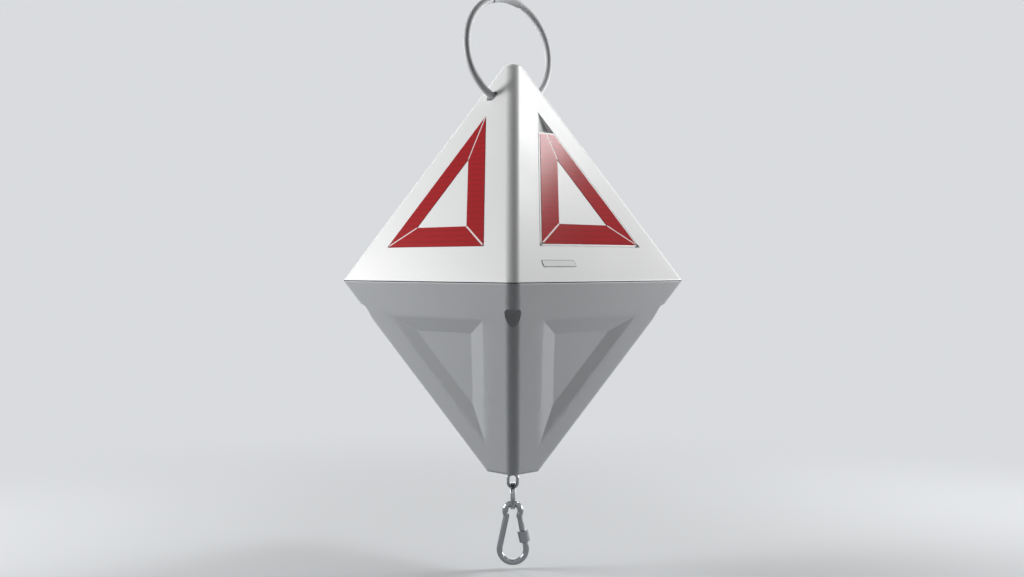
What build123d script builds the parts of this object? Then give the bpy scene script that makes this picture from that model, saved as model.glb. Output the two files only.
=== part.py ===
from build123d import *
from math import atan, atan2, cos, degrees, hypot, radians, sin, sqrt
import os

os.makedirs("parts", exist_ok=True)

# Millimetres. The origin is the middle of the seam, the level the moored buoy floats at.
# +Z is up, the four faces look along X and Y, and the hatch is in the face on -Y.

# Hull: two square pyramids, seam to seam
side = 300.0
sharp_height = 282.0
apex_level = 264.7
bottom_level = -234.5
edge_radius = 8.5
wall = 4.0
rim_trim = 0.8
rim_corner = 7.5
flange_width = 14.0
flange_thickness = 4.0
deck_level = 196.0
deck_thickness = 4.0

# Seam gasket
gasket_thickness = 1.2
gasket_set_back = 1.2
gasket_width = 9.0

# Screws that hold the halves together, one in a pocket in each lower edge
pocket_radius = 9.5
pocket_roof = -24.5
pocket_round = 5.0
pocket_depth = 40.0
pocket_inset = 21.3
screw_hole_radius = 2.75
boss_hole_radius = 2.1
boss_hole_depth = 12.0

# Sunk panels in the lower faces
panel_base = 46.0
panel_tip = 222.0
panel_depth = 4.5
panel_bevel = 24.0

# Reflector strips, three to a face
reflector_base = 45.2
reflector_tip = 222.5
strip_width = 25.7
strip_gap = 2.0
strip_thickness = 1.6
groove_depth = 1.2
groove_clearance = 0.25

# Hatch
hatch_margin = 2.4
hatch_top = 199.5
hatch_gap = 0.8
hatch_corner = 5.0
hatch_reflector_lift = 3.2
hem_radius = 3.2
hem_gap = 0.8
ledge_width = 9.0
coaming_width = 8.0
coaming_depth = 9.0
skirt_thickness = 2.0
skirt_depth = 8.0
skirt_clearance = 0.8
bay_depth = 50.0
bay_wall = 2.5
hinge_pin_radius = 1.1
hinge_pin_length = 16.0
hinge_pin_bite = 6.0
hinge_clearance = 0.06
press_clearance = 0.02
notch_tip = 229.0
notch_depth = 7.0
notch_reach = 3.5

# Carry ring, through two mouths under the apex
ring_tube = 8.8
ring_outer = 140.4
ring_lean = 5.5
ring_turn = 4.1
ring_offset = 2.0
mouth_level = 222.0
mouth_inset = 1.9
mouth_width = 14.6
mouth_height = 11.0
mouth_corner = 4.0
mouth_seat = 0.3
sleeve_length = 43.0
sleeve_wall = 0.9
sleeve_clearance = 0.1

# Eye bolt in the bottom
eye_wire = 3.6
eye_width = 15.0
eye_drop = 21.4
eye_root = 0.8
collar_radius = 7.5
collar_thickness = 2.0
shank_radius = 4.0
shank_length = 9.0
shank_clearance = 0.05
eye_boss_radius = 12.0
eye_boss_height = 13.0

# Split ring between the eye and the snap hook
link_inner_radius = 14.0
link_height = 2.5
link_width = 5.8
link_groove = 0.5
hang_gap = 0.3

# Snap hook
hook_length = 80.0
hook_width = 40.0
hook_bar = 7.4
hook_eyelet_width = 26.0
hook_flare = 12.0
hook_neck_radius = 5.0
gate_diameter = 7.0
gate_start = 2.6
gate_gap = 0.5
nose_set_back = 0.8
gate_pivot = 6.5
gate_top_radius = 3.6
fork_slot = 3.0
fork_clearance = 0.5
tongue_thickness = 2.6
tongue_radius = 3.0
gate_pin_radius = 1.1
gate_pin_length = 7.4
pin_clearance = 0.05
screw_sleeve_radius = 6.7
screw_sleeve_length = 14.6
screw_sleeve_travel = 4.5
screw_sleeve_clearance = 0.1
screw_sleeve_chamfer = 0.8
screw_sleeve_stop = 0.4

# Worked out from the sizes above
half = side / 2
slope = half / sharp_height
slope_angle = degrees(atan(slope))
face_spread = half / hypot(half, sharp_height)
seam_half = gasket_thickness / 2
rim_side = side - 2 * rim_trim
panel_slope = degrees(atan2(panel_bevel, panel_depth))

# Where the carry ring lies: its x axis runs through both mouths, its y axis up to the crown
ring_frame = Plane(
    origin=(0, ring_offset, mouth_level),
    x_dir=Vector(1, 0, 0).rotate(Axis.Z, -ring_turn),
    z_dir=Vector(0, -cos(radians(ring_lean)), sin(radians(ring_lean))).rotate(Axis.Z, -ring_turn),
)
mouth_plane = Plane(
    origin=ring_frame.origin,
    x_dir=Vector(0, 1, 0).rotate(Axis.Z, -ring_turn),
    z_dir=ring_frame.x_dir,
)
mouth_span = (sharp_height - mouth_level) * slope - mouth_inset
ring_radius = (ring_outer - ring_tube) / 2
ring_rise = sqrt(ring_radius**2 - mouth_span**2)
mouth_floor = ring_tube / 2 * ring_radius / ring_rise + mouth_seat


def face_plane(turn, down=False):
    """The outer plane of one face: x runs level along it, y runs up (or down) its slope."""
    flat = Vector(0, -1, 0).rotate(Axis.Z, turn)
    level = Vector(1, 0, 0).rotate(Axis.Z, turn)
    tilt = -slope if down else slope
    return Plane(
        origin=flat * half,
        x_dir=-level if down else level,
        z_dir=flat + Vector(0, 0, tilt),
    )


upper_faces = [face_plane(turn) for turn in (0, 90, 180, 270)]
lower_faces = [face_plane(turn, down=True) for turn in (0, 90, 180, 270)]
hatch_face = upper_faces[0]
plain_faces = upper_faces[1:]

# The hatch seen from its side: x runs up the slope, y out of the face
hatch_side = Plane(origin=hatch_face.origin, x_dir=hatch_face.y_dir, z_dir=hatch_face.x_dir)


def triangle(base, tip, grow=0.0):
    """Corners of a triangle with sides along the face's edges, grown by a margin."""
    low = base - grow
    high = tip + grow * sqrt(1 + face_spread**2) / face_spread
    reach = (high - low) * face_spread
    return [(-reach, low), (reach, low), (0, high)]


def cropped(base, tip, top, grow=0.0):
    """The same triangle with its tip cut level."""
    left, right, peak = triangle(base, tip, grow)
    level = top + grow
    reach = (peak[1] - level) * face_spread
    return [left, right, (reach, level), (-reach, level)]


hatch_base = reflector_base + hatch_reflector_lift
hatch_low = hatch_base - hatch_margin
hatch_tip = triangle(hatch_base, reflector_tip, hatch_margin)[2][1]
hinge_spot = (hatch_low + hem_radius, -hem_radius)
hinge_end = (hatch_tip - hinge_spot[0]) * face_spread + hinge_pin_bite


def rounded_pyramid(radius, down=False):
    """Half of the hull's form with all its edges rounded; a smaller radius gives the inside."""
    inset = edge_radius / sin(radians(slope_angle))
    core_height = (-bottom_level if down else apex_level) - edge_radius
    core_half = (sharp_height - inset) * slope
    with BuildPart() as pyramid:
        with BuildSketch(Plane.XY):
            Rectangle(2 * core_half, 2 * core_half)
        extrude(amount=-core_height if down else core_height, taper=slope_angle)
        base = pyramid.faces().sort_by(Axis.Z)[-1 if down else 0]
        extrude(base, amount=2 * edge_radius, taper=-slope_angle)
        offset(amount=radius, kind=Kind.ARC)
        split(bisect_by=Plane.XY, keep=Keep.BOTTOM if down else Keep.TOP)
    return pyramid.part


def hinge_rods(radius, spare=0.0):
    """The two hinge pins, or with spare room the holes they sit in."""
    length = hinge_pin_length + 2 * spare
    with BuildPart() as rods:
        with BuildSketch(*[hatch_side.offset(x) for x in (-hinge_end - spare, hinge_end + spare - length)]):
            with Locations(hinge_spot):
                Circle(radius)
        extrude(amount=length)
    return rods.part


corner_spots = [(x * (half - pocket_inset), y * (half - pocket_inset)) for x in (-1, 1) for y in (-1, 1)]

# Space inside the upper half, left round the screw bosses, the deck and the hatch's coaming
with BuildPart() as upper_space:
    add(rounded_pyramid(edge_radius - wall))
    with BuildSketch(Plane.XY):
        Rectangle(2 * side, 2 * side)
    extrude(amount=seam_half + flange_thickness, mode=Mode.SUBTRACT)
    with BuildSketch(Plane.XY.offset(deck_level)):
        Rectangle(side, side)
    extrude(amount=deck_thickness, mode=Mode.SUBTRACT)
    with BuildSketch(hatch_face.offset(-coaming_depth)):
        with BuildLine():
            Polyline(*cropped(hatch_low, hatch_tip, notch_tip, coaming_width), close=True)
        make_face()
    extrude(amount=coaming_depth, mode=Mode.SUBTRACT)
    with BuildSketch(Plane.XY):
        with Locations(*corner_spots):
            Circle(pocket_radius)
    extrude(amount=sharp_height / 4, mode=Mode.SUBTRACT)

# Finger notch above the hatch: a sloped floor that runs in under the lid's lip
with BuildPart() as notch:
    with BuildSketch(hatch_face):
        with BuildLine():
            Polyline(*triangle(hatch_top - notch_reach, notch_tip), close=True)
        make_face()
    extrude(amount=-notch_depth)
    with BuildSketch(hatch_side):
        with BuildLine():
            Polyline(
                (hatch_top - notch_reach, -wall),
                (hatch_top + hatch_gap, -wall),
                (hatch_top + hatch_gap, 0),
                (notch_tip, 0),
                (hatch_top + hatch_gap, -notch_depth),
                (hatch_top - notch_reach, -notch_depth),
                close=True,
            )
        make_face()
    extrude(amount=half, both=True, mode=Mode.INTERSECT)

# Trough that the lid's hem turns in
with BuildPart() as hem_trough:
    with BuildSketch(hatch_face):
        with BuildLine():
            Polyline(*cropped(hatch_low, hatch_tip, hatch_top, hatch_gap), close=True)
        make_face()
    extrude(amount=-2 * hem_radius - hem_gap)
    with BuildSketch(hatch_side):
        with Locations((hatch_low - hatch_gap, 0)):
            Rectangle(2 * hem_radius + hem_gap + hatch_gap, side, align=(Align.MIN, Align.CENTER))
    extrude(amount=half, both=True, mode=Mode.INTERSECT)

# Upper half
with BuildPart() as upper_shell:
    add(rounded_pyramid(edge_radius))
    with BuildSketch(Plane.XY.offset(seam_half)):
        RectangleRounded(rim_side, rim_side, rim_corner)
    extrude(amount=sharp_height, mode=Mode.INTERSECT)
    add(upper_space.part, mode=Mode.SUBTRACT)
    with BuildSketch(Plane.XY):
        Rectangle(side - 2 * flange_width, side - 2 * flange_width)
        with Locations(*corner_spots):
            Circle(pocket_radius, mode=Mode.SUBTRACT)
    extrude(amount=seam_half + flange_thickness, mode=Mode.SUBTRACT)
    with BuildSketch(Plane.XY):
        with Locations(*corner_spots):
            Circle(boss_hole_radius)
    extrude(amount=seam_half + boss_hole_depth, mode=Mode.SUBTRACT)
    with BuildSketch(mouth_plane):
        with Locations((0, mouth_height / 2 - mouth_floor)):
            RectangleRounded(mouth_width, mouth_height, mouth_corner)
    extrude(amount=half, both=True, mode=Mode.SUBTRACT)
    with BuildSketch(*plain_faces):
        with BuildLine():
            Polyline(*triangle(reflector_base, reflector_tip, groove_clearance), close=True)
        make_face()
        with BuildLine():
            Polyline(*triangle(reflector_base, reflector_tip, -strip_width - groove_clearance), close=True)
        make_face(mode=Mode.SUBTRACT)
    extrude(amount=-groove_depth, mode=Mode.SUBTRACT)
    with BuildSketch(hatch_face) as hatch_hole:
        with BuildLine():
            Polyline(*cropped(hatch_low, hatch_tip, hatch_top, hatch_gap), close=True)
        make_face()
        fillet(hatch_hole.vertices().group_by(Axis.Y)[0], radius=hatch_corner + hatch_gap)
    extrude(amount=-wall, mode=Mode.SUBTRACT)
    with BuildSketch(hatch_face):
        with BuildLine():
            Polyline(*cropped(hatch_low, hatch_tip, hatch_top, -ledge_width), close=True)
        make_face()
    extrude(amount=-2 * coaming_depth, mode=Mode.SUBTRACT)
    add(hem_trough.part, mode=Mode.SUBTRACT)
    add(notch.part, mode=Mode.SUBTRACT)
    add(hinge_rods(hinge_pin_radius + press_clearance, press_clearance), mode=Mode.SUBTRACT)
upper_shell.part.label = "upper_shell"
export_step(upper_shell.part, "parts/upper_shell.step")

# Space inside the lower half, left round the panels, the screw pockets and the eye's boss,
# with the opening that the flange leaves at the seam
with BuildPart() as lower_space:
    add(rounded_pyramid(edge_radius - wall, down=True))
    with BuildSketch(Plane.XY):
        Rectangle(2 * side, 2 * side)
    extrude(amount=-seam_half - flange_thickness, mode=Mode.SUBTRACT)
    with BuildSketch(*[plane.offset(-wall) for plane in lower_faces]):
        with BuildLine():
            Polyline(*triangle(panel_base, panel_tip), close=True)
        make_face()
    extrude(amount=-panel_depth, taper=panel_slope, mode=Mode.SUBTRACT)
    with BuildSketch(Plane.XY):
        with Locations(*corner_spots):
            Circle(pocket_radius + wall)
    extrude(amount=pocket_roof - pocket_depth, mode=Mode.SUBTRACT)
    with BuildSketch(Plane.XY.offset(bottom_level)):
        Circle(eye_boss_radius)
    extrude(amount=eye_boss_height, mode=Mode.SUBTRACT)
    with BuildSketch(Plane.XY):
        Rectangle(side - 2 * flange_width, side - 2 * flange_width)
        with Locations(*corner_spots):
            Circle(pocket_radius + wall, mode=Mode.SUBTRACT)
    extrude(amount=-seam_half - flange_thickness)

# Pockets for the seam screws, with rounded roofs
with BuildPart() as pockets:
    with BuildSketch(Plane.XY.offset(pocket_roof)):
        with Locations(*corner_spots):
            Circle(pocket_radius)
    extrude(amount=-pocket_depth)
    fillet(pockets.edges().group_by(Axis.Z)[-1], radius=pocket_round)

# Lower half
with BuildPart() as lower_shell:
    add(rounded_pyramid(edge_radius, down=True))
    with BuildSketch(Plane.XY.offset(-seam_half)):
        RectangleRounded(rim_side, rim_side, rim_corner)
    extrude(amount=-sharp_height, mode=Mode.INTERSECT)
    add(lower_space.part, mode=Mode.SUBTRACT)
    with BuildSketch(*lower_faces):
        with BuildLine():
            Polyline(*triangle(panel_base, panel_tip), close=True)
        make_face()
    extrude(amount=-panel_depth, taper=panel_slope, mode=Mode.SUBTRACT)
    add(pockets.part, mode=Mode.SUBTRACT)
    with BuildSketch(Plane.XY):
        with Locations(*corner_spots):
            Circle(screw_hole_radius)
    extrude(amount=pocket_roof, mode=Mode.SUBTRACT)
    with BuildSketch(Plane.XY.offset(bottom_level)):
        Circle(shank_radius + shank_clearance)
    extrude(amount=shank_length + hang_gap, mode=Mode.SUBTRACT)
lower_shell.part.label = "lower_shell"
export_step(lower_shell.part, "parts/lower_shell.step")

# Gasket between the halves, set back so that a dark line shows
with BuildPart() as seam_gasket:
    with BuildSketch(Plane.XY.offset(-seam_half)):
        gasket_side = rim_side - 2 * gasket_set_back
        RectangleRounded(gasket_side, gasket_side, rim_corner - gasket_set_back)
        Rectangle(gasket_side - 2 * gasket_width, gasket_side - 2 * gasket_width, mode=Mode.SUBTRACT)
        with Locations(*corner_spots):
            Circle(screw_hole_radius, mode=Mode.SUBTRACT)
    extrude(amount=gasket_thickness)
seam_gasket.part.label = "seam_gasket"
export_step(seam_gasket.part, "parts/seam_gasket.step")


def reflector_outline(base, tip, top):
    """Three mitred strips along the sides of a triangle, with a narrow gap at each mitre."""
    with BuildSketch() as strips:
        with BuildLine():
            Polyline(*cropped(base, tip, top), close=True)
        make_face()
        with BuildLine():
            Polyline(*triangle(base, tip, -strip_width), close=True)
        make_face(mode=Mode.SUBTRACT)
        for corner, inner_corner in zip(triangle(base, tip), triangle(base, tip, -strip_width)):
            start, end = Vector(*corner), Vector(*inner_corner)
            run = end - start
            with Locations((start + end) * 0.5):
                turn = degrees(atan2(run.Y, run.X))
                Rectangle(1.4 * run.length, strip_gap, rotation=turn, mode=Mode.SUBTRACT)
    return strips.sketch


# Reflectors of the three plain faces, each let into its groove
for node, plane in zip(("reflector_right", "reflector_back", "reflector_left"), plain_faces):
    with BuildPart() as reflector:
        with BuildSketch(plane.offset(-groove_depth)):
            add(reflector_outline(reflector_base, reflector_tip, reflector_tip - strip_gap))
        extrude(amount=strip_thickness)
    reflector.part.label = node
    export_step(reflector.part, f"parts/{node}.step")

# Hatch lid: a plate with a rolled hem at its hinge and a skirt that drops inside the coaming
with BuildPart() as hatch_lid:
    with BuildSketch(hatch_side):
        with Locations(hinge_spot):
            Circle(hem_radius)
        with Locations((hinge_spot[0], 0)):
            Rectangle(hatch_top - hinge_spot[0], wall, align=(Align.MIN, Align.MAX))
    extrude(amount=half, both=True)
    with BuildSketch(hatch_face) as lid_outline:
        with BuildLine():
            Polyline(*cropped(hatch_low, hatch_tip, hatch_top), close=True)
        make_face()
        fillet(lid_outline.vertices().group_by(Axis.Y)[0], radius=hatch_corner)
    extrude(amount=-2 * hem_radius, mode=Mode.INTERSECT)
    with BuildSketch(hatch_face.offset(-wall)):
        for inset, mode in ((skirt_clearance, Mode.ADD), (skirt_clearance + skirt_thickness, Mode.SUBTRACT)):
            with BuildLine():
                Polyline(*cropped(hatch_low, hatch_tip, hatch_top, -ledge_width - inset), close=True)
            make_face(mode=mode)
    extrude(amount=wall - skirt_depth)
    with BuildSketch(hatch_face):
        with BuildLine():
            Polyline(
                *cropped(hatch_base, reflector_tip, hatch_top - hatch_margin, groove_clearance),
                close=True,
            )
        make_face()
        with BuildLine():
            Polyline(*triangle(hatch_base, reflector_tip, -strip_width - groove_clearance), close=True)
        make_face(mode=Mode.SUBTRACT)
    extrude(amount=-groove_depth, mode=Mode.SUBTRACT)
    add(hinge_rods(hinge_pin_radius + hinge_clearance, hinge_clearance), mode=Mode.SUBTRACT)
hatch_lid.part.label = "hatch_lid"
export_step(hatch_lid.part, "parts/hatch_lid.step")

with BuildPart() as hatch_reflector:
    with BuildSketch(hatch_face.offset(-groove_depth)):
        add(reflector_outline(hatch_base, reflector_tip, hatch_top - hatch_margin))
    extrude(amount=strip_thickness)
hatch_reflector.part.label = "hatch_reflector"
export_step(hatch_reflector.part, "parts/hatch_reflector.step")

with BuildPart() as hinge_pins:
    add(hinge_rods(hinge_pin_radius))
hinge_pins.part.label = "hinge_pins"
export_step(hinge_pins.part, "parts/hinge_pins.step")

# Tray behind the hatch, closed against the hull's float space
with BuildPart() as bay_tray:
    with BuildSketch(hatch_face.offset(-coaming_depth)):
        with BuildLine():
            Polyline(*cropped(hatch_low, hatch_tip, hatch_top, bay_wall - ledge_width), close=True)
        make_face()
    extrude(amount=-bay_depth)
    with BuildSketch(hatch_face.offset(-coaming_depth)):
        with BuildLine():
            Polyline(*cropped(hatch_low, hatch_tip, hatch_top, -ledge_width), close=True)
        make_face()
    extrude(amount=bay_wall - bay_depth, mode=Mode.SUBTRACT)
bay_tray.part.label = "bay_tray"
export_step(bay_tray.part, "parts/bay_tray.step")

# Carry ring, leaning away from the hatch
ring_centre = ring_frame.origin + ring_frame.y_dir * ring_rise
ring_axis = Axis(ring_centre, ring_frame.z_dir)
ring_section = Plane(origin=ring_centre, x_dir=ring_frame.y_dir, z_dir=ring_frame.x_dir)
with BuildPart() as carry_ring:
    with BuildSketch(ring_section):
        with Locations((ring_radius, 0)):
            Circle(ring_tube / 2)
    revolve(axis=ring_axis)
carry_ring.part.label = "carry_ring"
export_step(carry_ring.part, "parts/carry_ring.step")

# Sleeve that closes the ring at its crown
sleeve_arc = degrees(sleeve_length / ring_radius)
sleeve_section = Plane(
    origin=ring_centre,
    x_dir=ring_section.x_dir.rotate(Axis((0, 0, 0), ring_frame.z_dir), -sleeve_arc / 2),
    z_dir=ring_section.z_dir.rotate(Axis((0, 0, 0), ring_frame.z_dir), -sleeve_arc / 2),
)
with BuildPart() as ring_sleeve:
    with BuildSketch(sleeve_section):
        with Locations((ring_radius, 0)):
            Circle(ring_tube / 2 + sleeve_clearance + sleeve_wall)
            Circle(ring_tube / 2 + sleeve_clearance, mode=Mode.SUBTRACT)
    revolve(axis=ring_axis, revolution_arc=sleeve_arc)
ring_sleeve.part.label = "ring_sleeve"
export_step(ring_sleeve.part, "parts/ring_sleeve.step")

# The chain below hangs in one upright plane: x across it, y up
chain_plane = Plane(origin=(0, 0, 0), x_dir=(1, -1, 0), z_dir=(-1, -1, 0))

# Eye bolt: shank, collar and an oblong eye bent from round bar
eye_bar_level = bottom_level - eye_drop + eye_wire / 2
eye_radius = (eye_width - eye_wire) / 2
eye_top = bottom_level - collar_thickness - eye_wire / 2 + eye_root
with BuildLine() as eye_line:
    low_arc = CenterArc((0, eye_bar_level + eye_radius), eye_radius, 180, 180)
    Line(low_arc @ 1, (eye_radius, eye_top - eye_radius))
    high_arc = CenterArc((0, eye_top - eye_radius), eye_radius, 0, 180)
    Line(high_arc @ 1, low_arc @ 0)
with BuildPart() as eye_bolt:
    with BuildSketch(Plane(origin=(0, 0, eye_bar_level), z_dir=chain_plane.x_dir)):
        Circle(eye_wire / 2)
    sweep(path=chain_plane.location * eye_line.wire())
    with BuildSketch(Plane.XY.offset(bottom_level)):
        Circle(collar_radius)
    extrude(amount=-collar_thickness)
    with BuildSketch(Plane.XY.offset(bottom_level)):
        Circle(shank_radius)
    extrude(amount=shank_length)
eye_bolt.part.label = "eye_bolt"
export_step(eye_bolt.part, "parts/eye_bolt.step")

# Split ring: two turns of flat wire, hung on the eye's lower bar
eye_bore = eye_radius - eye_wire / 2
eye_seat = sqrt((eye_bore - hang_gap) ** 2 - (link_width / 2) ** 2)
link_level = eye_bar_level + eye_radius - eye_seat - link_inner_radius
with BuildPart() as split_ring:
    with BuildSketch(chain_plane):
        with Locations((0, link_level - link_inner_radius - link_height / 2)):
            RectangleRounded(link_width, link_height, link_height / 4)
            with Locations((0, link_height / 2), (0, -link_height / 2)):
                Rectangle(link_groove, link_height / 2, mode=Mode.SUBTRACT)
    revolve(axis=Axis((0, 0, link_level), chain_plane.x_dir))
split_ring.part.label = "split_ring"
export_step(split_ring.part, "parts/split_ring.step")

# Snap hook: a pear of round bar, hung by its narrow end in the split ring
eyelet_radius = (hook_eyelet_width - hook_bar) / 2
eyelet_bore = eyelet_radius - hook_bar / 2
seat_drop = sqrt((eyelet_bore - hang_gap) ** 2 - (link_width / 2) ** 2)
eyelet_level = link_level - link_inner_radius - seat_drop
hook_plane = Plane(origin=(0, 0, eyelet_level), x_dir=chain_plane.x_dir, z_dir=chain_plane.z_dir)
bend_radius = (hook_width - hook_bar) / 2
bend_level = hook_eyelet_width / 2 - hook_length + hook_width / 2
flare = radians(hook_flare)
along = Vector(sin(flare), -cos(flare))
bend_start = Vector(bend_radius * cos(flare), bend_level + bend_radius * sin(flare))
reach = bend_start.dot(along)
neck_run = reach - sqrt(reach**2 - bend_start.length**2 + eyelet_radius**2)
neck = bend_start - along * neck_run
gate_direction = hook_plane.from_local_coords(along) - hook_plane.origin
nose_end = neck_run - nose_set_back
gate_end = nose_end - screw_sleeve_travel
nose_start = gate_end + gate_gap


def gate_plane(distance):
    """Square across the gate's line, looking down it, at a distance below the eyelet's neck."""
    spot = hook_plane.from_local_coords(neck + along * distance)
    return Plane(origin=spot, x_dir=hook_plane.z_dir, z_dir=gate_direction)


pivot_plane = Plane(origin=gate_plane(gate_pivot).origin, x_dir=gate_direction, z_dir=hook_plane.z_dir)

with BuildLine() as hook_line:
    Line(neck + along * gate_start, neck)
    neck_angle = degrees(atan2(neck.Y, neck.X))
    CenterArc((0, 0), eyelet_radius, neck_angle, 180 - 2 * neck_angle)
    Line((-neck.X, neck.Y), (-bend_start.X, bend_start.Y))
    CenterArc((0, bend_level), bend_radius, 180 - hook_flare, 180 + 2 * hook_flare)
    Line(bend_start, neck + along * nose_end)
    necks = hook_line.vertices().filter_by_position(Axis.Y, neck.Y - 0.01, neck.Y + 0.01)
    fillet(necks, radius=hook_neck_radius)

with BuildPart() as hook_body:
    with BuildSketch(gate_plane(gate_start)):
        Circle(hook_bar / 2)
    sweep(path=hook_plane.location * hook_line.wire())
    with BuildSketch(gate_plane(nose_start)):
        Circle(gate_diameter / 2)
    extrude(amount=nose_end - nose_start)
    with BuildSketch(pivot_plane):
        Circle(tongue_radius)
        with Locations((gate_start - gate_pivot - 1, 0)):
            Rectangle(gate_pivot - gate_start + 1, 2 * tongue_radius, align=(Align.MIN, Align.CENTER))
        Circle(gate_pin_radius + press_clearance, mode=Mode.SUBTRACT)
    extrude(amount=tongue_thickness / 2, both=True)
hook_body.part.label = "hook_body"
export_step(hook_body.part, "parts/hook_body.step")

with BuildPart() as gate_pin:
    with BuildSketch(pivot_plane):
        Circle(gate_pin_radius)
    extrude(amount=gate_pin_length / 2, both=True)
gate_pin.part.label = "gate_pin"
export_step(gate_pin.part, "parts/gate_pin.step")

# Gate: a round bar, forked and rounded at its pivot
with BuildPart() as hook_gate:
    with BuildSketch(gate_plane(gate_pivot - gate_top_radius)):
        Circle(gate_diameter / 2)
    extrude(amount=gate_end - gate_pivot + gate_top_radius)
    with BuildSketch(pivot_plane):
        Rectangle(2 * gate_top_radius, 4 * gate_top_radius, align=(Align.MAX, Align.CENTER))
        Circle(gate_top_radius, mode=Mode.SUBTRACT)
    extrude(amount=gate_diameter, both=True, mode=Mode.SUBTRACT)
    with BuildSketch(pivot_plane):
        Rectangle(2 * gate_top_radius, 2 * gate_diameter, align=(Align.MAX, Align.CENTER))
        with Locations((0, 0)):
            Rectangle(tongue_radius + fork_clearance, 2 * gate_diameter, align=(Align.MIN, Align.CENTER))
    extrude(amount=fork_slot / 2, both=True, mode=Mode.SUBTRACT)
    with BuildSketch(pivot_plane):
        Circle(gate_pin_radius + pin_clearance)
    extrude(amount=gate_diameter, both=True, mode=Mode.SUBTRACT)
hook_gate.part.label = "hook_gate"
export_step(hook_gate.part, "parts/hook_gate.step")

# Screw sleeve on the gate, run up clear of the nose
with BuildPart() as screw_sleeve:
    with BuildSketch(gate_plane(gate_end - screw_sleeve_stop - screw_sleeve_length)):
        Circle(screw_sleeve_radius)
        Circle(gate_diameter / 2 + screw_sleeve_clearance, mode=Mode.SUBTRACT)
    extrude(amount=screw_sleeve_length)
    rims = screw_sleeve.edges().filter_by(GeomType.CIRCLE).sort_by(SortBy.RADIUS)[-2:]
    chamfer(rims, length=screw_sleeve_chamfer)
screw_sleeve.part.label = "screw_sleeve"
export_step(screw_sleeve.part, "parts/screw_sleeve.step")
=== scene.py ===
from math import cos, radians, sin

import bmesh
import bpy
from mathutils import Euler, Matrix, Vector


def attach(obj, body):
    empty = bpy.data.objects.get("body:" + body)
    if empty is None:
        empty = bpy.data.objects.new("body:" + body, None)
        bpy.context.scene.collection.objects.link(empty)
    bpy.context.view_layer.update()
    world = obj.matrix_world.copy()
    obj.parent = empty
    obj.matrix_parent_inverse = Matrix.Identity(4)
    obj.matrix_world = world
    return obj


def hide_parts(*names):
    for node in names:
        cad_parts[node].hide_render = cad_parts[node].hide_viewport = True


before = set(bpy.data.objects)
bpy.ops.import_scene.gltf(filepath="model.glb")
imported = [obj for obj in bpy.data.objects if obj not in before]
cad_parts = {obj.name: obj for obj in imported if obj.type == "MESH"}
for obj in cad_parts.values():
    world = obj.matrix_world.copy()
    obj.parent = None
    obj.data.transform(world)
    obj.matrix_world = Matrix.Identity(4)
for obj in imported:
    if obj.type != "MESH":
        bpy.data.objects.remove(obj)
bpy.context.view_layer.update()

bpy.context.scene.view_settings.view_transform = "Standard"

# The camera stands level with the seam, square on to one upright edge of the hull, 1.48 m off.
eye = bpy.data.cameras.new("camera")
camera = bpy.data.objects.new("camera", eye)
bpy.context.scene.collection.objects.link(camera)
bpy.context.scene.camera = camera
eye.sensor_width = 36.0
eye.lens = 42.5
eye.clip_start = 0.05
camera.location = (-1.0465, -1.0465, 0.019)
camera.rotation_euler = (radians(90 - 1.113), 0, radians(-45 + 0.038))

# Lower half: one rotation-moulded float of polyethylene, its faces sunk in a panel each and
# coloured a light grey, darker than the upper half's white. The mould was grit blasted, so the
# skin is matt with a fine even grain.


def paint(text):
    """An sRGB hex colour as the linear values that the shaders take."""
    channels = [int(text[i:i + 2], 16) / 255 for i in (1, 3, 5)]
    return [c / 12.92 if c <= 0.04045 else ((c + 0.055) / 1.055) ** 2.4 for c in channels] + [1.0]


def add_node(tree, kind, sockets=None, **settings):
    """Adds a node, with its settings, and its sockets set or linked."""
    made = tree.nodes.new(kind)
    for name, value in settings.items():
        setattr(made, name, value)
    for key, value in (sockets or {}).items():
        if isinstance(value, bpy.types.NodeSocket):
            tree.links.new(value, made.inputs[key])
        else:
            made.inputs[key].default_value = value
    return made


def begin_material(name):
    """A new material, its tree, its shader and the object's own coordinates."""
    material = bpy.data.materials.new(name)
    material.use_nodes = True
    tree = material.node_tree
    place = add_node(tree, "ShaderNodeTexCoord").outputs["Object"]
    return material, tree, tree.nodes["Principled BSDF"], place


def blend_paints(tree, shader, share, first, second):
    """Makes the base colour a blend of two paints, by the share that a socket gives."""
    shade = add_node(tree, "ShaderNodeMix", {"Factor": share}, data_type="RGBA")
    shade.inputs[6].default_value = paint(first)
    shade.inputs[7].default_value = paint(second)
    tree.links.new(shade.outputs[2], shader.inputs["Base Color"])


def mottle(tree, shader, place, scale, detail, first, second):
    """Clouds the base colour between two near paints."""
    cloud = add_node(tree, "ShaderNodeTexNoise", {"Vector": place, "Scale": scale, "Detail": detail})
    blend_paints(tree, shader, cloud.outputs["Fac"], first, second)


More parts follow.
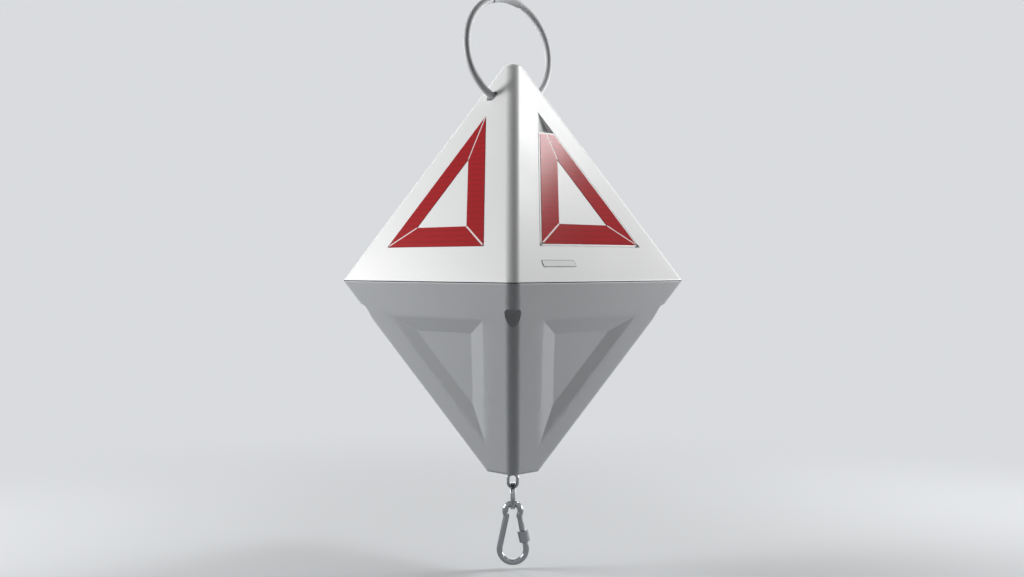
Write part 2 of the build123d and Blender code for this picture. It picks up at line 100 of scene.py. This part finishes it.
def dress(node, body, material, reshape=None):
    """A merged, smooth copy of a CAD node, with its flat faces kept flat, that stands for it."""
    sharp_angle = radians(28)
    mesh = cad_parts[node].data.copy()
    mesh.materials.clear()
    mesh.materials.append(material)
    work = bmesh.new()
    work.from_mesh(mesh)
    bmesh.ops.remove_doubles(work, verts=work.verts, dist=2e-6)
    if reshape:
        reshape(work)
    for face in work.faces:
        face.smooth = True
        face.material_index = 0
    for edge in work.edges:
        edge.smooth = len(edge.link_faces) == 2 and edge.calc_face_angle(0.0) < sharp_angle
    work.to_mesh(mesh)
    work.free()
    piece = bpy.data.objects.new(node + "_skin", mesh)
    bpy.context.scene.collection.objects.link(piece)
    weighted = piece.modifiers.new("flat_faces", "WEIGHTED_NORMAL")
    weighted.keep_sharp = True
    weighted.weight = 80
    graph = bpy.context.evaluated_depsgraph_get()
    settled = bpy.data.meshes.new_from_object(
        piece.evaluated_get(graph), preserve_all_data_layers=True, depsgraph=graph
    )
    piece.modifiers.clear()
    piece.data = settled
    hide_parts(node)
    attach(piece, body)


# The form of one half: its half width at the seam, the height at which its faces would meet,
# the long edges' radius in the CAD and in the mould, and where each half is cut off flat.
half_width = 0.150
sharp_height = 0.282
cad_edge = 0.0085
mould_edge = 0.014
steep = half_width / sharp_height
rise = (1 + steep ** 2) ** 0.5
levels = {1: 0.2647, -1: 0.2345}


def off_form(x, y, z, radius, top):
    """How far a point lies outside half of the hull's form, its edges rounded to a radius."""
    a, b = max(abs(x), abs(y)), min(abs(x), abs(y))
    sharp = sharp_height - radius * rise / steep
    top = min(top - radius, sharp)
    flat = steep * (sharp - top)
    face = (a + steep * (z - sharp)) / rise
    foot_a, foot_z = a - face / rise, z - face * steep / rise
    if b <= foot_a and foot_z <= top:
        return face - radius
    if z > top and a <= flat:
        return z - top - radius
    foot = Vector((steep * sharp, steep * sharp, 0.0))
    run = Vector((-steep, -steep, 1.0)).normalized()
    spot = Vector((a, b, z))
    along = min((spot - foot).dot(run), top * (1 + 2 * steep ** 2) ** 0.5)
    edge = (spot - foot - run * along).length
    rim = (spot - Vector((flat, min(b, flat), top))).length
    return min(edge, rim) - radius


def off_mould(x, y, z, side):
    """The same for the moulded form: wider long edges, and above a dome at the apex."""
    gap = max(
        off_form(x, y, z, cad_edge, levels[side]),
        off_form(x, y, z, mould_edge, sharp_height),
    )
    if side > 0:
        dome_radius, dome_top = 0.019, 0.2642
        slant = (2 ** 0.5) * steep
        out = (x * x + y * y) ** 0.5
        over = z - dome_top + dome_radius
        if over >= slant * out:
            gap = max(gap, (out * out + over * over) ** 0.5 - dome_radius)
    return gap


def mould_edges(work, side):
    """Cuts the long edges finer, and draws the skin in to the moulded form."""
    cuts_mm = (-8.4, -7.2, -6.0, -4.5, -3.0, -1.5, 0.0, 1.5, 3.0, 4.5, 6.0, 7.2, 8.4)
    highest_middle, touching = 0.2, 2e-6
    for turn in ((1, -1), (1, 1)):
        across = Vector((turn[0], turn[1], 0)).normalized()
        for step in cuts_mm:
            bmesh.ops.bisect_plane(
                work, geom=work.verts[:] + work.edges[:] + work.faces[:],
                dist=1e-6, plane_co=across * step / 1000, plane_no=across,
            )
    for corner in work.verts:
        x, y, z = corner.co.x, corner.co.y, corner.co.z * side
        if z < 0 or off_mould(x, y, z, side) < touching:
            continue
        middle = Vector((0.0, 0.0, min(z, highest_middle)))
        ray = Vector((x, y, z)) - middle
        low, high = 0.5, 1.0
        for _ in range(22):
            mid = (low + high) / 2
            spot = middle + ray * mid
            if off_mould(spot.x, spot.y, spot.z, side) > 0:
                high = mid
            else:
                low = mid
        spot = middle + ray * low
        corner.co = (spot.x, spot.y, spot.z * side)


def mould_lower(work):
    """Domes the roofs of the screw pockets, then draws the long edges in."""
    pocket_at, pocket_radius, bore_radius = 0.1287, 0.0095, 0.0029
    roof, wall_top, wall_end, pocket_end = -0.0245, -0.0295, -0.05, -0.0645
    spring, near = roof - pocket_radius, 1e-5
    for corner in work.verts:
        x, y, z = corner.co
        out = ((abs(x) - pocket_at) ** 2 + (abs(y) - pocket_at) ** 2) ** 0.5
        if out < bore_radius or out > pocket_radius + near or z > roof + near or z < pocket_end:
            continue
        if z > wall_top + near:
            corner.co.z = spring + max(pocket_radius ** 2 - out ** 2, 0.0) ** 0.5
        elif out > pocket_radius - 10 * near and z > wall_end:
            corner.co.z = spring + (z - wall_top) * (wall_end - spring) / (wall_end - wall_top)
    mould_edges(work, -1)


grey, tree, shader, place = begin_material("polyethylene_grit_grain")
mottle(tree, shader, place, 7.0, 4.0, "#B4B6B9", "#BEC0C2")
grit_size = 0.0011
grit = add_node(
    tree, "ShaderNodeTexNoise",
    {"Vector": place, "Scale": 1 / grit_size, "Detail": 3.0, "Roughness": 0.6},
)
relief = add_node(
    tree, "ShaderNodeBump",
    {"Height": grit.outputs["Fac"], "Strength": 0.5, "Distance": 0.00012},
)
tree.links.new(relief.outputs["Normal"], shader.inputs["Normal"])
shader.inputs["Roughness"].default_value = 0.55
dress("lower_shell", "hull", grey, reshape=mould_lower)

# Gasket: a flat ring of black EPDM rubber, nipped between the halves and set back a little,
# so that it shows as one dark line round the seam.
rubber, tree, shader, place = begin_material("epdm_rubber_cut")
shader.inputs["Base Color"].default_value = paint("#232426")
bloom = add_node(tree, "ShaderNodeTexNoise", {"Vector": place, "Scale": 160.0, "Detail": 2.0})
dull = add_node(tree, "ShaderNodeMapRange", {"Value": bloom.outputs["Fac"], "To Min": 0.7, "To Max": 0.9})
tree.links.new(dull.outputs["Result"], shader.inputs["Roughness"])
dress("seam_gasket", "hull", rubber)

# Upper half: the same polyethylene in white, from a polished mould. It is satin, with the
# faint waviness that such a skin has, and gently brighter where the light grazes it.
white, tree, shader, place = begin_material("polyethylene_white_satin")
mottle(tree, shader, place, 5.0, 3.0, "#E4E5E5", "#EAEAE9")
rub = add_node(tree, "ShaderNodeTexNoise", {"Vector": place, "Scale": 24.0, "Detail": 5.0})
satin = add_node(tree, "ShaderNodeMapRange", {"Value": rub.outputs["Fac"], "To Min": 0.3, "To Max": 0.42})
wave_length = 0.009
swell = add_node(tree, "ShaderNodeTexNoise", {"Vector": place, "Scale": 1 / wave_length, "Detail": 1.0})
relief = add_node(
    tree, "ShaderNodeBump",
    {"Height": swell.outputs["Fac"], "Strength": 0.25, "Distance": 0.0001},
)
tree.links.new(satin.outputs["Result"], shader.inputs["Roughness"])
tree.links.new(relief.outputs["Normal"], shader.inputs["Normal"])
dress("upper_shell", "hull", white, reshape=lambda work: mould_edges(work, 1))
dress("bay_tray", "hull", white)

# Reflectors: red acrylic strips with rows of small prisms moulded in the back. The front has
# a thin clear gloss, and the prism rows show as faint level bands in the deep red.
red, tree, shader, place = begin_material("acrylic_red_prismatic")
row_pitch = 0.0065
rows = add_node(
    tree, "ShaderNodeTexWave",
    {"Vector": place, "Scale": 0.314 / row_pitch, "Distortion": 1.2, "Detail": 2.0, "Detail Scale": 0.6},
    wave_type="BANDS", bands_direction="Z",
)
cloud = add_node(tree, "ShaderNodeTexNoise", {"Vector": place, "Scale": 22.0, "Detail": 2.0})
depth = add_node(
    tree, "ShaderNodeMath",
    {0: rows.outputs["Fac"], 1: cloud.outputs["Fac"]}, operation="MULTIPLY",
)
blend_paints(tree, shader, depth.outputs[0], "#9C0009", "#B4000F")
prism_size = 0.0022
prisms = add_node(tree, "ShaderNodeTexVoronoi", {"Vector": place, "Scale": 1 / prism_size}, feature="F1")
relief = add_node(
    tree, "ShaderNodeBump",
    {"Height": prisms.outputs["Distance"], "Strength": 0.2, "Distance": 0.0002},
)
tree.links.new(relief.outputs["Normal"], shader.inputs["Normal"])
shader.inputs["Roughness"].default_value = 0.45
shader.inputs["Specular IOR Level"].default_value = 0.0
shader.inputs["Coat Weight"].default_value = 0.5
shader.inputs["Coat Roughness"].default_value = 0.2
for node in ("reflector_right", "reflector_back", "reflector_left"):
    dress(node, "hull", red)

# Mitre seams: where two strips meet, they leave a narrow gap. Thin bars set almost level in it
# carry painted light: their pale, slightly clouded pinkish white stands in for the lit white shell
# seen in the gap, and reads as a thin pinkish white line.
lit_gap_paint, tree, shader, place = begin_material("mitre_gap_painted_light")
mottle(tree, shader, place, 90.0, 2.0, "#E2CFCF", "#EBDCDC")
shader.inputs["Roughness"].default_value = 0.35


def face_point(turn, along, up, out):
    """A point on one upper face, from millimetres along it, up its slope and out of it."""
    foot, slope_in, slope_up = -150.0, 0.46961, 0.88287
    back = foot + up * slope_in - out * slope_up
    spot = Vector((along, back, up * slope_up + out * slope_in)) / 1000
    spot.rotate(Euler((0.0, 0.0, radians(turn))))
    return spot


def lay_slabs(name, body, material, turn, outlines, low, high):
    """Thin flat slabs on one upper face, from their outlines on it."""
    work = bmesh.new()
    for outline in outlines:
        under, over = (
            [work.verts.new(face_point(turn, x, y, out)) for x, y in outline]
            for out in (low, high)
        )
        work.faces.new(list(reversed(under)))
        work.faces.new(over)
        for i in range(len(outline)):
            j = (i + 1) % len(outline)
            work.faces.new((under[i], under[j], over[j], over[i]))
    bmesh.ops.recalc_face_normals(work, faces=work.faces)
    mesh = bpy.data.meshes.new(name)
    work.to_mesh(mesh)
    work.free()
    mesh.materials.append(material)
    piece = bpy.data.objects.new(name, mesh)
    bpy.context.scene.collection.objects.link(piece)
    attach(piece, body)


def mitre_bars(base, inner_base, reach, inner_reach, tip, inner_tip):
    """The outlines of the three mitre seams of one triangle of strips, in millimetres."""
    width, corner_trim, tip_trim, inner_trim = 1.9, 3.2, 0.2, 0.3
    bars = []
    for start, end, trim in (
        ((-reach, base), (-inner_reach, inner_base), corner_trim),
        ((reach, base), (inner_reach, inner_base), corner_trim),
        ((0.0, tip), (0.0, inner_tip), tip_trim),
    ):
        start, end = Vector(start), Vector(end)
        run = (end - start).normalized()
        start, end = start + run * trim, end - run * inner_trim
        side = Vector((-run.y, run.x)) * width / 2
        bars.append([tuple(start - side), tuple(end - side), tuple(end + side), tuple(start + side)])
    return bars


bars = mitre_bars(
    base=45.2, inner_base=70.9, reach=83.26, inner_reach=42.8, tip=220.3, inner_tip=162.04,
)
# Pale bars of painted light in the mitre gaps of the three hull faces.
for name, turn in (("mitre_seam_right", 90), ("mitre_seam_back", 180), ("mitre_seam_left", 270)):
    lay_slabs(name, "hull", lit_gap_paint, turn, bars, low=-1.15, high=0.25)

# Bare plate: a thin film label stuck on below the hatch, printed with a dark edge and left
# without words. Its satin face shows a little smoother than the hull round it.
plate_edge, tree, shader, place = begin_material("label_edge_printed")
shader.inputs["Base Color"].default_value = paint("#3A3B3D")
shader.inputs["Roughness"].default_value = 0.5
plate_face, tree, shader, place = begin_material("label_film_satin")
mottle(tree, shader, place, 300.0, 2.0, "#DCDDDE", "#E2E3E3")
shader.inputs["Roughness"].default_value = 0.3


def plate_outline(left, right, low, high, round_off):
    """A rectangle with rounded corners, as points in order."""
    arc_steps = 4
    points = []
    for x, y, start in ((right, low, -90), (right, high, 0), (left, high, 90), (left, low, 180)):
        cx = x - round_off if x == right else x + round_off
        cy = y - round_off if y == high else y + round_off
        for step in range(arc_steps + 1):
            angle = radians(start + 90 / arc_steps * step)
            points.append((cx + round_off * cos(angle), cy + round_off * sin(angle)))
    return points


rim = plate_outline(left=-93.4, right=-40.2, low=19.0, high=27.7, round_off=1.6)
lay_slabs("plate_rim", "hull", plate_edge, 0, [rim], low=0.0, high=0.25)
inside = plate_outline(left=-92.8, right=-40.8, low=19.6, high=27.1, round_off=1.1)
lay_slabs("plate_face", "hull", plate_face, 0, [inside], low=0.0, high=0.45)

# Hatch: a lid of the same white, with a hem rolled round two stainless pins, and its own
# three reflector strips. It hangs by the hem and lies shut under its own weight.
dress("hatch_lid", "hatch", white)
dress("hatch_reflector", "hatch", red)
bars = mitre_bars(
    base=48.4, inner_base=74.1, reach=81.76, inner_reach=41.3, tip=197.0, inner_tip=162.04,
)
# Pale bars of painted light in the mitre gaps of the hatch's strips.
lay_slabs("mitre_seam_hatch", "hatch", lit_gap_paint, 0, bars, low=-1.15, high=0.25)

# Carry ring: a ring of round nylon bar, closed at its crown by a sleeve that is glued on.
# Natural nylon is a cool grey white and scatters the light, so it has no sharp highlights.
nylon, tree, shader, place = begin_material("nylon_natural_extruded")
mottle(tree, shader, place, 70.0, 3.0, "#BFC1C3", "#CBCCCE")
shader.inputs["Roughness"].default_value = 0.48


def begin_tree(name, **sizes):
    """A Geometry Nodes tree with a named input for each size, and the sockets that give them."""
    made = bpy.data.node_groups.new(name, "GeometryNodeTree")
    made.interface.new_socket("Geometry", in_out="INPUT", socket_type="NodeSocketGeometry")
    for size, value in sizes.items():
        socket = made.interface.new_socket(size, in_out="INPUT", socket_type="NodeSocketFloat")
        socket.default_value = value
    made.interface.new_socket("Geometry", in_out="OUTPUT", socket_type="NodeSocketGeometry")
    return made, made.nodes.new("NodeGroupInput").outputs


def bake(tree, body, material, name, shape, node=None, **sizes):
    """Ends a tree, runs it once on an empty mesh and keeps the result as one plain piece."""
    real = add_node(tree, "GeometryNodeRealizeInstances", {"Geometry": shape})
    done = add_node(tree, "GeometryNodeSetMaterial", {"Geometry": real.outputs[0], "Material": material})
    end = tree.nodes.new("NodeGroupOutput")
    tree.links.new(done.outputs[0], end.inputs[0])
    piece = bpy.data.objects.new(name, bpy.data.meshes.new(name + "_seed"))
    bpy.context.scene.collection.objects.link(piece)
    run = piece.modifiers.new(name, "NODES")
    run.node_group = tree
    for item in tree.interface.items_tree:
        if item.in_out == "INPUT" and item.name in sizes:
            run[item.identifier] = sizes[item.name]
    graph = bpy.context.evaluated_depsgraph_get()
    baked = bpy.data.meshes.new_from_object(piece.evaluated_get(graph), depsgraph=graph)
    piece.modifiers.clear()
    piece.data = baked
    for face in baked.polygons:
        face.use_smooth = True
    if node:
        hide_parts(node)
    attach(piece, body)


ring_middle, ring_lean, ring_turn = (0.000401, 0.007598, 0.280286), 5.5, 4.1
tree, size = begin_tree("bent_ring", mean_radius=0.0658, bar_radius=0.0044)
bend = add_node(
    tree, "GeometryNodeCurvePrimitiveCircle",
    {"Resolution": 192, "Radius": size["mean_radius"]},
)
bar = add_node(
    tree, "GeometryNodeCurvePrimitiveCircle",
    {"Resolution": 40, "Radius": size["bar_radius"]},
)
swept = add_node(
    tree, "GeometryNodeCurveToMesh",
    {"Curve": bend.outputs[0], "Profile Curve": bar.outputs[0]},
)
stood = add_node(
    tree, "GeometryNodeTransform",
    {"Geometry": swept.outputs[0], "Translation": ring_middle,
     "Rotation": (radians(90 - ring_lean), 0.0, radians(-ring_turn))},
)
bake(
    tree, "ring", nylon, "carry_ring_bar", stood.outputs[0], node="carry_ring",
    mean_radius=0.0658,
)
dress("ring_sleeve", "ring", nylon)

# Stainless fittings: eye bolt, split ring and snap hook, all turned or bent from bright bar
# and tumbled to a polish, which leaves the faintest uneven sheen.
steel, tree, shader, place = begin_material("stainless_steel_tumbled")
shader.inputs["Metallic"].default_value = 1.0
shader.inputs["Base Color"].default_value = paint("#939598")
sheen = add_node(tree, "ShaderNodeTexNoise", {"Vector": place, "Scale": 420.0, "Detail": 4.0})
polish = add_node(tree, "ShaderNodeMapRange", {"Value": sheen.outputs["Fac"], "To Min": 0.08, "To Max": 0.18})
tree.links.new(polish.outputs["Result"], shader.inputs["Roughness"])
for node, body in (
    ("hinge_pins", "hull"), ("eye_bolt", "hull"), ("hook_body", "hook"),
    ("gate_pin", "hook"), ("hook_gate", "gate"), ("screw_sleeve", "sleeve"),
):
    dress(node, body, steel)

# Split ring: two turns of flat stainless wire, wound close, with the step where the wire
# crosses from one turn to the other and the two cut ends on either side of it.
eye_middle = (0.0, 0.0, -0.264533)
tree, size = begin_tree(
    "split_ring_coil", mean_radius=0.01525, wire_height=0.0025, wire_width=0.0027, step=0.0029,
)
coil = add_node(
    tree, "GeometryNodeCurveSpiral",
    {"Resolution": 96, "Rotations": 1.84, "Height": 0.0,
     "Start Radius": size["mean_radius"], "End Radius": size["mean_radius"]},
)
share = add_node(tree, "GeometryNodeSplineParameter")
cross = add_node(
    tree, "ShaderNodeMapRange",
    {"Value": share.outputs["Factor"],
     "From Min": 0.44, "From Max": 0.56, "To Min": -0.5, "To Max": 0.5},
    interpolation_type="SMOOTHSTEP",
)
lift = add_node(tree, "ShaderNodeMath", {0: cross.outputs[0], 1: size["step"]}, operation="MULTIPLY")
offset = add_node(tree, "ShaderNodeCombineXYZ", {"Z": lift.outputs[0]})
laid = add_node(
    tree, "GeometryNodeSetPosition",
    {"Geometry": coil.outputs[0], "Offset": offset.outputs[0]},
)
held = add_node(tree, "GeometryNodeSetCurveNormal", {"Curve": laid.outputs[0]}, mode="Z_UP")
flat_bar = add_node(
    tree, "GeometryNodeCurvePrimitiveQuadrilateral",
    {"Width": size["wire_height"], "Height": size["wire_width"]},
)
wire_easing = 0.0006
eased = add_node(
    tree, "GeometryNodeFilletCurve",
    {"Curve": flat_bar.outputs[0], "Count": 4, "Radius": wire_easing}, mode="POLY",
)
swept = add_node(
    tree, "GeometryNodeCurveToMesh",
    {"Curve": held.outputs[0], "Profile Curve": eased.outputs[0], "Fill Caps": True},
)
hung = add_node(
    tree, "GeometryNodeTransform",
    {"Geometry": swept.outputs[0], "Translation": eye_middle,
     "Rotation": (radians(90), 0.0, radians(45))},
)
bake(tree, "link", steel, "split_ring_coil", hung.outputs[0], node="split_ring", step=0.0029)

# Thread: rolled on the hook's nose at 1 mm pitch, for the sleeve to screw down over. It is
# low enough for the sleeve to pass, and shows as fine rings of light on the bar.
tree, size = begin_tree("nose_thread", nose_radius=0.0034, pitch=0.001, crest=0.00014)
turns = 3.6
rise_of = add_node(tree, "ShaderNodeMath", {0: size["pitch"], 1: turns}, operation="MULTIPLY")
helix = add_node(
    tree, "GeometryNodeCurveSpiral",
    {"Resolution": 40, "Rotations": turns, "Height": rise_of.outputs[0],
     "Start Radius": size["nose_radius"], "End Radius": size["nose_radius"]},
)
held = add_node(tree, "GeometryNodeSetCurveNormal", {"Curve": helix.outputs[0]}, mode="Z_UP")
ridge = add_node(
    tree, "GeometryNodeCurvePrimitiveCircle",
    {"Resolution": 6, "Radius": size["crest"]},
)
swept = add_node(
    tree, "GeometryNodeCurveToMesh",
    {"Curve": held.outputs[0], "Profile Curve": ridge.outputs[0], "Fill Caps": True},
)
nose = Vector((0.147016, -0.147016, -0.978148))
nose_start, first_turn = Vector((0.010568, -0.010568, -0.321885)), 0.0002
lean = nose.to_track_quat("Z", "Y").to_euler()
hung = add_node(
    tree, "GeometryNodeTransform",
    {"Geometry": swept.outputs[0], "Translation": nose_start + nose * first_turn,
     "Rotation": tuple(lean)},
)
bake(tree, "hook", steel, "nose_thread", hung.outputs[0], pitch=0.001)

# Seam screws: a stainless pan-head screw with a washer in the roof of each pocket, head down,
# that pulls the halves together on the gasket. The outline gives radius and drop in metres.
profile = [
    (0.0, 0.0), (0.0046, 0.0), (0.0047, 0.0002), (0.0047, 0.0009), (0.0041, 0.001), (0.0041, 0.0021),
    (0.0037, 0.0029), (0.0029, 0.0033), (0.0017, 0.0034), (0.0017, 0.0018), (0.0, 0.0014),
]
screw_mesh = bpy.data.meshes.new("pan_head")
work = bmesh.new()
chain = [work.verts.new((r, 0.0, -h)) for r, h in profile]
edges = [work.edges.new(pair) for pair in zip(chain, chain[1:])]
bmesh.ops.spin(
    work, geom=chain + edges, cent=(0, 0, 0), axis=(0, 0, 1),
    angle=radians(360), steps=36, use_duplicate=False,
)
bmesh.ops.remove_doubles(work, verts=work.verts, dist=1e-6)
bmesh.ops.recalc_face_normals(work, faces=work.faces)
work.to_mesh(screw_mesh)
work.free()
screw = bpy.data.objects.new("pan_head", screw_mesh)
bpy.context.scene.collection.objects.link(screw)
tree, size = begin_tree("seam_screws", spacing=0.2574)
spots = add_node(
    tree, "GeometryNodeMeshGrid",
    {"Size X": size["spacing"], "Size Y": size["spacing"], "Vertices X": 2, "Vertices Y": 2},
)
washer_level = -0.0252
level = add_node(
    tree, "GeometryNodeTransform",
    {"Geometry": spots.outputs[0], "Translation": (0.0, 0.0, washer_level)},
)
one = add_node(tree, "GeometryNodeObjectInfo", {"Object": screw})
turn = add_node(
    tree, "FunctionNodeRandomValue",
    {"Max": (0.0, 0.0, 6.28), "Seed": 4}, data_type="FLOAT_VECTOR",
)
set_in = add_node(
    tree, "GeometryNodeInstanceOnPoints",
    {"Points": level.outputs[0], "Instance": one.outputs["Geometry"], "Rotation": turn.outputs[0]},
)
bake(tree, "hull", steel, "seam_screws", set_in.outputs[0], spacing=0.2574)
bpy.data.objects.remove(screw)

# Studio: a pale floor just below the hook, that turns to the colour of the backdrop as it
# runs out. One high softbox lights the hatch face, and three low ones the sides and back.
backdrop = "#D9DBDE"
floor_level = -0.3545
floor_mesh = bpy.data.meshes.new("floor")
work = bmesh.new()
bmesh.ops.create_circle(work, cap_ends=True, segments=96, radius=14.0)
for corner in work.verts:
    corner.co.z = floor_level
work.to_mesh(floor_mesh)
work.free()
floor = bpy.data.objects.new("floor", floor_mesh)
bpy.context.scene.collection.objects.link(floor)
paper, tree, shader, place = begin_material("studio_paper")
shader.inputs["Roughness"].default_value = 0.9
shader.inputs["Specular IOR Level"].default_value = 0.1
flat = add_node(tree, "ShaderNodeVectorMath", {0: place, 1: (1.0, 1.0, 0.0)}, operation="MULTIPLY")
out = add_node(tree, "ShaderNodeVectorMath", {0: flat.outputs[0]}, operation="LENGTH")
far = add_node(
    tree, "ShaderNodeMapRange",
    {"Value": out.outputs["Value"], "From Min": 0.3, "From Max": 1.3, "To Min": 0.0, "To Max": 1.0},
    interpolation_type="SMOOTHSTEP",
)
ray = add_node(tree, "ShaderNodeLightPath")
seen = add_node(
    tree, "ShaderNodeMath",
    {0: ray.outputs["Is Camera Ray"], 1: ray.outputs["Is Glossy Ray"]}, operation="MAXIMUM",
)
share = add_node(tree, "ShaderNodeMath", {0: far.outputs[0], 1: seen.outputs[0]}, operation="MULTIPLY")
tone = add_node(tree, "ShaderNodeMix", {"Factor": seen.outputs[0]}, data_type="RGBA")
tone.inputs[6].default_value = paint("#7C7E80")
tone.inputs[7].default_value = paint("#C3C5C7")
tree.links.new(tone.outputs[2], shader.inputs["Base Color"])
glow = add_node(tree, "ShaderNodeEmission", {"Color": paint(backdrop), "Strength": 1.0})
blend = add_node(
    tree, "ShaderNodeMixShader",
    {0: share.outputs[0], 1: shader.outputs[0], 2: glow.outputs[0]},
)
tree.links.new(blend.outputs[0], tree.nodes["Material Output"].inputs["Surface"])
floor_mesh.materials.append(paper)

world = bpy.data.worlds.new("studio")
bpy.context.scene.world = world
world.use_nodes = True
tree = world.node_tree
ray = add_node(tree, "ShaderNodeLightPath")
seen = add_node(
    tree, "ShaderNodeMath",
    {0: ray.outputs["Is Camera Ray"], 1: ray.outputs["Is Glossy Ray"]}, operation="MAXIMUM",
)
seen = add_node(
    tree, "ShaderNodeMath",
    {0: seen.outputs[0], 1: ray.outputs["Is Transmission Ray"]}, operation="MAXIMUM",
)
shown = add_node(tree, "ShaderNodeBackground", {"Color": paint(backdrop), "Strength": 1.0})
fill = tree.nodes["Background"]
fill.inputs["Color"].default_value = (1.0, 1.0, 1.0, 1.0)
fill.inputs["Strength"].default_value = 0.09
mixed = add_node(
    tree, "ShaderNodeMixShader",
    {0: seen.outputs[0], 1: fill.outputs[0], 2: shown.outputs[0]},
)
tree.links.new(mixed.outputs[0], tree.nodes["World Output"].inputs["Surface"])

for name, direction, distance, width, power in (
    ("softbox_high", (0.60, -0.30, 0.74), 1.7, 0.4, 10.0),
    ("softbox_left", (-0.64, 0.72, 0.26), 1.8, 0.8, 36.0),
    ("softbox_right", (0.89, -0.45, 0.06), 1.8, 0.7, 33.0),
    ("softbox_back", (0.70, 0.68, 0.30), 2.0, 0.9, 10.0),
):
    lamp = bpy.data.lights.new(name, "AREA")
    lamp.shape = "SQUARE"
    lamp.size = width
    lamp.energy = power
    box = bpy.data.objects.new(name, lamp)
    bpy.context.scene.collection.objects.link(box)
    way = Vector(direction).normalized()
    box.location = way * distance
    box.rotation_euler = way.to_track_quat("Z", "Y").to_euler()
